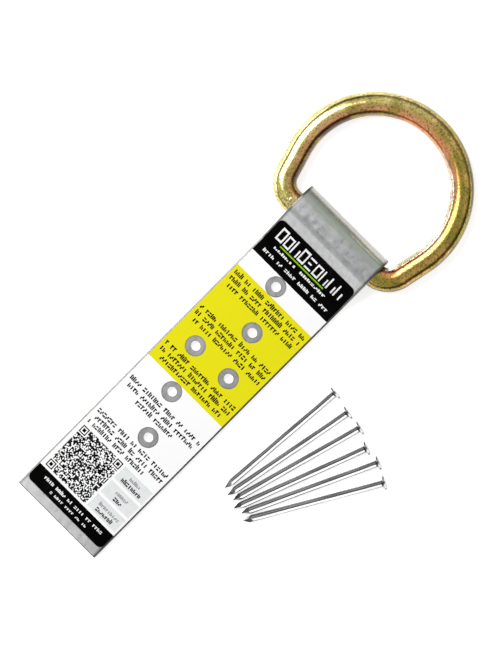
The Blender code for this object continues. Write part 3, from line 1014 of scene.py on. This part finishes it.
def lines_mesh(name, lines):
    """One point for each line of print: (from, to, foot, letter height, stroke pitch, spaces, rough)."""
    mesh = bpy.data.meshes.new(name)
    mesh.from_pydata([(start, foot, 0) for start, _, foot, *_ in lines], [], [])
    columns = {"strokes": [], "pitch": [], "letter": [], "spaces": [], "word_start": [], "rough": []}
    for number, (start, stop, _, letter, pitch, spaces, rough) in enumerate(lines):
        strokes = max(1, round((stop - start) / pitch))
        values = (strokes, (stop - start) / strokes, letter, spaces, 0.37 * number + 0.31, rough)
        for column, value in zip(columns.values(), values):
            column.append(value)
    for label, values in columns.items():
        attribute = mesh.attributes.new(label, "FLOAT", "POINT")
        attribute.data.foreach_set("value", values)
    return mesh


def make_ink(name, shade):
    """Screen ink, a little faded in soft patches."""
    material, tree, shader = new_material(name, Specular_IOR_Level=0.05)
    wear = use_group(tree, film_wear, {"Smudge Scale": 220.0})
    faded = tuple(min(1.0, 0.75 * c + 0.05) for c in shade)
    share = stretch_range(tree, wear["Smudges"], 0.45, 0.75, 0, 0.4)
    tree.links.new(blend_colours(tree, share, (*shade, 1), (*faded, 1)), shader.inputs["Base Color"])
    tree.links.new(stretch_range(tree, wear["Smudges"], 0.3, 0.7, 0.38, 0.55), shader.inputs["Roughness"])
    return material


ink_black = make_ink("ink_black", (0.002, 0.002, 0.002))
ink_white = make_ink("ink_white", (0.84, 0.84, 0.84))
ink_green = make_ink("ink_green", (0.21, 0.50, 0.003))
ink_grey = make_ink("ink_grey", (0.27, 0.27, 0.28))
ink_pale = make_ink("ink_pale", (0.76, 0.78, 0.78))

LETTER = 0.0028
PITCH = 0.00186
LEFT = -0.0251
RIGHT = 0.0251


def body_line(foot, start=LEFT, stop=RIGHT, spaces=0.17):
    """A line of the small print, as lines_mesh takes it."""
    return (start, stop, foot, LETTER, PITCH, spaces, 0.12)


BLACK_LINES = [body_line(v / 1000 - 0.0011) for v in (48.8, 45.0, 41.1, 23.7, 19.9, 16.0, -2.2, -6.0)]
BLACK_LINES += [body_line(-0.0109, -0.0212, 0.0224, 0.09)]
BLACK_LINES += [body_line(-0.0288), body_line(-0.0326), body_line(-0.0363, -0.0140, 0.0138)]
BLACK_LINES += [body_line(-0.0528), body_line(-0.0566), body_line(-0.0603, -0.0251, 0.0170)]
BLACK_LINES += [
    (0.0090, 0.0225, -0.0700, 0.0022, 0.00165, 0.0, 0.26),
    (0.0130, 0.0185, -0.0799, 0.0022, 0.00165, 0.0, 0.26),
    (0.0100, 0.0215, -0.0899, 0.0022, 0.00165, 0.0, 0.26),
]
GREY_LINES = [
    (0.0120, 0.0195, -0.0666, 0.0019, 0.00150, 0.12, 0.2),
    (0.0115, 0.0200, -0.0766, 0.0019, 0.00150, 0.12, 0.2),
    (0.0080, 0.0234, -0.0866, 0.0019, 0.00150, 0.12, 0.2),
]
WHITE_LINES = [
    (-0.0196, 0.0172, 0.07105, 0.0016, 0.0026, 0.08, 0.0),
    (-0.0229, 0.0231, 0.0664, 0.0020, 0.00190, 0.22, 0.12),
    (-0.0218, 0.0216, -0.0970, 0.0019, 0.00165, 0.24, 0.12),
    (-0.0127, 0.0133, -0.1003, 0.0015, 0.00150, 0.24, 0.10),
]
TITLE_LINES = [(-0.0229, 0.0235, 0.0753, 0.0074, 0.00515, 0.0, 0.12)]

for name, ink, shapes, lines in (
    ("label_print_black", ink_black, SMALL_STROKES, BLACK_LINES),
    ("label_print_grey", ink_grey, SMALL_STROKES, GREY_LINES),
    ("label_print_white", ink_white, SMALL_STROKES, WHITE_LINES),
    ("label_title_band", ink_white, TITLE_STROKES, TITLE_LINES),
):
    print_tree = print_lines_tree(name, ink, shapes)
    print_values = {"Film": film, "Ink": INK, "Seed": PRINT_SEED}
    printed = grow(name, lines_mesh(name, lines), print_tree, print_values)
    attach(printed, "strap")
    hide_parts("label")


def print_blocks_tree(material):
    """A square field of small blocks, about half of them inked, with square targets in three corners."""
    tree, given, end = new_tree(
        "print_blocks",
        [
            ("Film", "NodeSocketObject", None),
            ("Ink", "NodeSocketFloat", 0.00003),
            ("Seed", "NodeSocketInt", 0),
            ("Side", "NodeSocketFloat", 0.029),
            ("Blocks", "NodeSocketInt", 41),
            ("Middle", "NodeSocketVector", (0, 0, 0)),
        ],
    )
    count = given["Blocks"]
    block = calc(tree, "DIVIDE", given["Side"], count)
    reach = calc(tree, "SUBTRACT", given["Side"], block)
    half_reach = calc(tree, "MULTIPLY", reach, 0.5)
    grid = {"Size X": reach, "Size Y": reach, "Vertices X": count, "Vertices Y": count}
    field = flow(tree, "GeometryNodeMeshGrid", grid)
    place = flow(tree, "GeometryNodeInputPosition")
    x, y, _ = add_node(tree, "ShaderNodeSeparateXYZ", {"Vector": place}).outputs
    zone = calc(tree, "SUBTRACT", half_reach, calc(tree, "MULTIPLY", block, 7.5))
    far_x = calc(tree, "GREATER_THAN", calc(tree, "ABSOLUTE", x), zone)
    far_y = calc(tree, "GREATER_THAN", calc(tree, "ABSOLUTE", y), zone)
    right = calc(tree, "GREATER_THAN", x, 0.0)
    low = calc(tree, "LESS_THAN", y, 0.0)
    no_target = calc(tree, "SUBTRACT", 1.0, calc(tree, "MULTIPLY", right, low))
    target = calc(tree, "MULTIPLY", calc(tree, "MULTIPLY", far_x, far_y), no_target)
    draw = {2: 0.0, 3: 1.0, "Seed": given["Seed"]}
    chance = flow(tree, "FunctionNodeRandomValue", draw, 1, data_type="FLOAT")
    blank = calc(tree, "GREATER_THAN", chance, 0.60)
    left_out = {"Geometry": field, "Selection": calc(tree, "MAXIMUM", blank, target)}
    inked = flow(tree, "GeometryNodeDeleteGeometry", left_out, domain="POINT")
    tile_size = flow(tree, "ShaderNodeCombineXYZ", {"X": block, "Y": block, "Z": given["Ink"]})
    tile = flow(tree, "GeometryNodeMeshCube", {"Size": tile_size})
    tiles = flow(tree, "GeometryNodeInstanceOnPoints", {"Points": inked, "Instance": tile})
    square = add_bars(tree, ((0, 3, 7, 1), (0, -3, 7, 1), (-3, 0, 1, 5), (3, 0, 1, 5), (0, 0, 3, 3)))
    inward = calc(tree, "SUBTRACT", half_reach, calc(tree, "MULTIPLY", block, 3.0))
    corners = tree.nodes.new("GeometryNodeJoinGeometry")
    for sign_x, sign_y in ((-1, 1), (1, 1), (-1, -1)):
        spot_x = calc(tree, "MULTIPLY", inward, sign_x)
        spot_y = calc(tree, "MULTIPLY", inward, sign_y)
        spot = flow(tree, "ShaderNodeCombineXYZ", {"X": spot_x, "Y": spot_y})
        point = flow(tree, "GeometryNodePoints", {"Count": 1, "Position": spot})
        tree.links.new(point, corners.inputs["Geometry"])
    at_corners = {"Points": corners.outputs["Geometry"], "Instance": square, "Scale": tile_size}
    targets = flow(tree, "GeometryNodeInstanceOnPoints", at_corners)
    both = tree.nodes.new("GeometryNodeJoinGeometry")
    for part in (tiles, targets):
        tree.links.new(part, both.inputs["Geometry"])
    real = flow(tree, "GeometryNodeRealizeInstances", {"Geometry": both.outputs["Geometry"]})
    moved = flow(tree, "GeometryNodeSetPosition", {"Geometry": real, "Offset": given["Middle"]})
    finish_tree(tree, press_on_film(tree, moved, given["Film"]), end, material)
    return tree


blocks = grow(
    "label_block_square",
    bpy.data.meshes.new("blocks"),
    print_blocks_tree(ink_black),
    {
        "Film": film,
        "Ink": INK,
        "Seed": PRINT_SEED,
        "Side": 0.0288,
        "Blocks": 47,
        "Middle": (-0.0101, -0.0769, 0.0),
    },
)
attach(blocks, "strap")
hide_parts("label")


def film_top(y):
    """Height of the film's face over a place on the upper leaf."""
    lift = SHEET / 2 + FILM_LIFT + FILM
    radius = FOOT_RADIUS - lift
    reach = radius * math.sin(RAMP_ANGLE)
    if y <= FOOT_Y:
        return UPPER_Z + lift
    if y - FOOT_Y <= reach:
        return UPPER_Z + FOOT_RADIUS - math.sqrt(radius**2 - (y - FOOT_Y) ** 2)
    climb = (y - FOOT_Y - reach) * math.tan(RAMP_ANGLE)
    return UPPER_Z + FOOT_RADIUS - radius * math.cos(RAMP_ANGLE) + climb


def print_panel(name, ink, panels, thick):
    """Flat panels of ink on the film: (from x, to x, from y, to y)."""
    bm = bmesh.new()
    for x0, x1, y0, y1 in panels:
        corners = bmesh.ops.create_cube(bm, size=1)["verts"]
        for vert in corners:
            vert.co.x = x1 if vert.co.x > 0 else x0
            vert.co.y = y1 if vert.co.y > 0 else y0
            vert.co.z = film_top(vert.co.y) + (thick if vert.co.z > 0 else -thick)
    panel = show(name, finish_mesh(name, bm))
    panel.data.materials.append(ink)
    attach(panel, "strap")
    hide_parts("label")


print_panel("label_green_rule", ink_green, [(-0.0174, 0.0134, 0.0737, 0.0745)], 0.000015)
GREY_ROWS = ((-0.0711, -0.0627), (-0.0810, -0.0727), (-0.0910, -0.0826))
print_panel("label_grey_boxes", ink_pale, [(0.0057, 0.0257, *row) for row in GREY_ROWS], 0.000008)


# Nails: six 10d common nails of bright drawn wire, with an upset flat head, roller marks under it and
# a pinched four-sided point. They lie loose beside the strap, fanned out from their tips.
NAIL_LENGTH = 0.0762
SHANK = 0.00376
HEAD = 0.0079
HEAD_THICKNESS = 0.0011
HEAD_EDGE = 0.0002
POINT = 0.0052
TIP_FLAT = 0.0003
FIRST_TIP = (strap_high.x + 0.0221, -0.0346)
TIP_GAP = 0.0001
NAIL_FAN = ((85.5, 0.0), (79.3, -0.0010), (74.7, 0.0010), (69.4, -0.0017), (65.3, 0.0027), (60.1, -0.0003))
NAIL_ROLLS = (12.0, 100.0, -35.0, 64.0, 151.0, 30.0)  # how far each has turned about its own length
NAIL_SIDES = 32


def nail_radius(z, angle):
    """Round shank, squared down to the tip by four flats."""
    if z >= POINT:
        return SHANK / 2
    half_flat = TIP_FLAT / 2 + (SHANK / 2 - TIP_FLAT / 2) * z / POINT
    return min(SHANK / 2, half_flat / max(abs(math.cos(angle)), abs(math.sin(angle))))


def nail_blank():
    """A nail, tip at the origin and head up, without its roller marks."""
    under = NAIL_LENGTH - HEAD_THICKNESS
    shank = [0, 0.0004] + [POINT * i / 9 for i in range(1, 10)]
    shank += [POINT + (under - 0.0012 - POINT) * i / 24 for i in range(1, 25)]
    fillet = [(under - 0.0008, 1.05), (under - 0.0003, 1.22), (under, 1.50)]
    head = HEAD / 2
    rim = [
        (under + 0.00005, head - 0.00035),
        (under + 0.0002, head - 0.00008),
        (under + HEAD_THICKNESS * 0.45, head),
        (NAIL_LENGTH - 0.0002, head - 0.00004),
        (NAIL_LENGTH - 0.00003, head - 0.00022),
        (NAIL_LENGTH, head - 0.0006),
    ]
    bm = bmesh.new()
    rings = []
    angles = [2 * math.pi * i / NAIL_SIDES for i in range(NAIL_SIDES)]

    levels = [(z, [nail_radius(z, a) for a in angles]) for z in shank]
    levels += [(z, [SHANK / 2 * share] * NAIL_SIDES) for z, share in fillet]
    levels += [(z, [radius] * NAIL_SIDES) for z, radius in rim]
    for z, radii in levels:
        around = [(r * math.cos(a), r * math.sin(a), z) for r, a in zip(radii, angles)]
        rings.append([bm.verts.new(corner) for corner in around])
    bridge(bm, rings)
    bm.faces.new(reversed(rings[0]))
    bm.faces.new(rings[-1])
    mesh = finish_mesh("nail_blank", bm)
    smooth_but_for_edges(mesh, 24)
    return mesh


def make_bright_steel():
    """Bright drawn wire: pale and dark streaks along it, with a roughness that varies in patches."""
    pale = (0.56, 0.56, 0.565, 1)
    dark = (0.24, 0.24, 0.245, 1)
    material, tree, shader = new_material("bright_steel", Metallic=1.0)
    nail = flow(tree, "ShaderNodeAttribute", None, "Vector", attribute_name="nail_place")
    upright = {"Vector": nail, "Rotation": (0, math.radians(90), 0)}
    grain = use_grain(tree, flow(tree, "ShaderNodeMapping", upright), 2600.0, 260.0, 1500.0)
    steel = blend_colours(tree, stretch_range(tree, grain["Streaks"], 0.40, 0.66, 0, 1), pale, dark)
    tree.links.new(steel, shader.inputs["Base Color"])
    tree.links.new(stretch_range(tree, grain["Blotches"], 0.3, 0.7, 0.14, 0.30), shader.inputs["Roughness"])
    rough = calc(tree, "MULTIPLY_ADD", grain["Streaks"], 1.4, grain["Grain"])
    bump(tree, shader, rough, 0.22, 0.00006)
    return material


def nail_tree(material):
    """Adds the roller marks under the head, then rolls, tips and turns the nail to where it lies."""
    tree, given, end = new_tree(
        "common_nail",
        [
            ("Marks", "NodeSocketInt", 9),
            ("Mark Pitch", "NodeSocketFloat", 0.0011),
            ("Mark Depth", "NodeSocketFloat", 0.0001),
            ("First Mark", "NodeSocketFloat", 0.063),
            ("Shank Radius", "NodeSocketFloat", 0.00188),
            ("Roll", "NodeSocketFloat", 0.0),
            ("Turn", "NodeSocketRotation", None),
            ("Tip", "NodeSocketVector", (0, 0, 0)),
        ],
    )
    bow = {"Resolution": 9, "Radius": given["Shank Radius"], "Start Angle": -0.9, "Sweep Angle": 1.8}
    arc = flow(tree, "GeometryNodeCurveArc", bow, mode="RADIUS")
    wire_size = {"Resolution": 6, "Radius": given["Mark Depth"]}
    wire = flow(tree, "GeometryNodeCurvePrimitiveCircle", wire_size, mode="RADIUS")
    ridge = flow(tree, "GeometryNodeCurveToMesh", {"Curve": arc, "Profile Curve": wire, "Fill Caps": True})
    start = flow(tree, "ShaderNodeCombineXYZ", {"Z": given["First Mark"]})
    step = flow(tree, "ShaderNodeCombineXYZ", {"Z": given["Mark Pitch"]})
    spacing = {"Count": given["Marks"], "Start Location": start, "Offset": step}
    rows = flow(tree, "GeometryNodeMeshLine", spacing, mode="OFFSET")
    every = tree.nodes.new("GeometryNodeJoinGeometry")
    tree.links.new(given["Geometry"], every.inputs["Geometry"])
    for side in (0, math.pi):
        row = {"Points": rows, "Instance": ridge, "Rotation": (0.12, 0, side)}
        marks = flow(tree, "GeometryNodeInstanceOnPoints", row)
        tree.links.new(marks, every.inputs["Geometry"])
    real = flow(tree, "GeometryNodeRealizeInstances", {"Geometry": every.outputs["Geometry"]})
    spin = flow(tree, "ShaderNodeCombineXYZ", {"Z": given["Roll"]})
    rolled = flow(tree, "GeometryNodeTransform", {"Geometry": real, "Rotation": spin})
    place = flow(tree, "GeometryNodeInputPosition")
    kept = store(tree, rolled, "nail_place", place, "FLOAT_VECTOR")
    lie = {"Geometry": kept, "Translation": given["Tip"], "Rotation": given["Turn"]}
    finish_tree(tree, flow(tree, "GeometryNodeTransform", lie), end, material)
    return tree


def nail_tips():
    """Where each nail's tip lies: one shank and a gap across from the one before it."""
    x, y = FIRST_TIP
    before = NAIL_FAN[0][0]
    tips = []
    for heading, ahead in NAIL_FAN:
        along = math.radians((heading + before) / 2)
        across = (SHANK + TIP_GAP) if tips else 0.0
        x += ahead * math.cos(along) + across * math.sin(along)
        y += ahead * math.sin(along) - across * math.cos(along)
        before = heading
        tips.append((x, y, math.radians(heading)))
    return tips


nail_rise = math.atan((HEAD - SHANK) / 2 / (NAIL_LENGTH - HEAD_THICKNESS + HEAD_EDGE - POINT))
common_nail = nail_tree(make_bright_steel())
for number, ((x, y, heading), roll) in enumerate(zip(nail_tips(), NAIL_ROLLS), 1):
    body = f"nail_{number}"
    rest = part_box(body)[0].z
    tip_z = rest + SHANK / 2 * math.cos(nail_rise) - POINT * math.sin(nail_rise)
    nail = grow(
        f"common_nail_{number}",
        nail_blank(),
        common_nail,
        {
            "Shank Radius": SHANK / 2,
            "Roll": math.radians(roll),
            "Turn": (0, math.pi / 2 - nail_rise, heading),
            "Tip": (x, y, tip_z),
        },
    )
    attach(nail, body)
    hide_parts(body)


# What each light falls on: the nails have theirs, and everything else, the floor included, has the rest.
# This waits for the last piece, because a light that names its receivers lights nothing else.
for piece in bpy.context.scene.collection.all_objects:
    if piece.type == "MESH":
        for receivers in nail_lights if piece.name.startswith("common_nail") else anchor_lights:
            receivers.objects.link(piece)
ring_overhead.objects.link(ring)
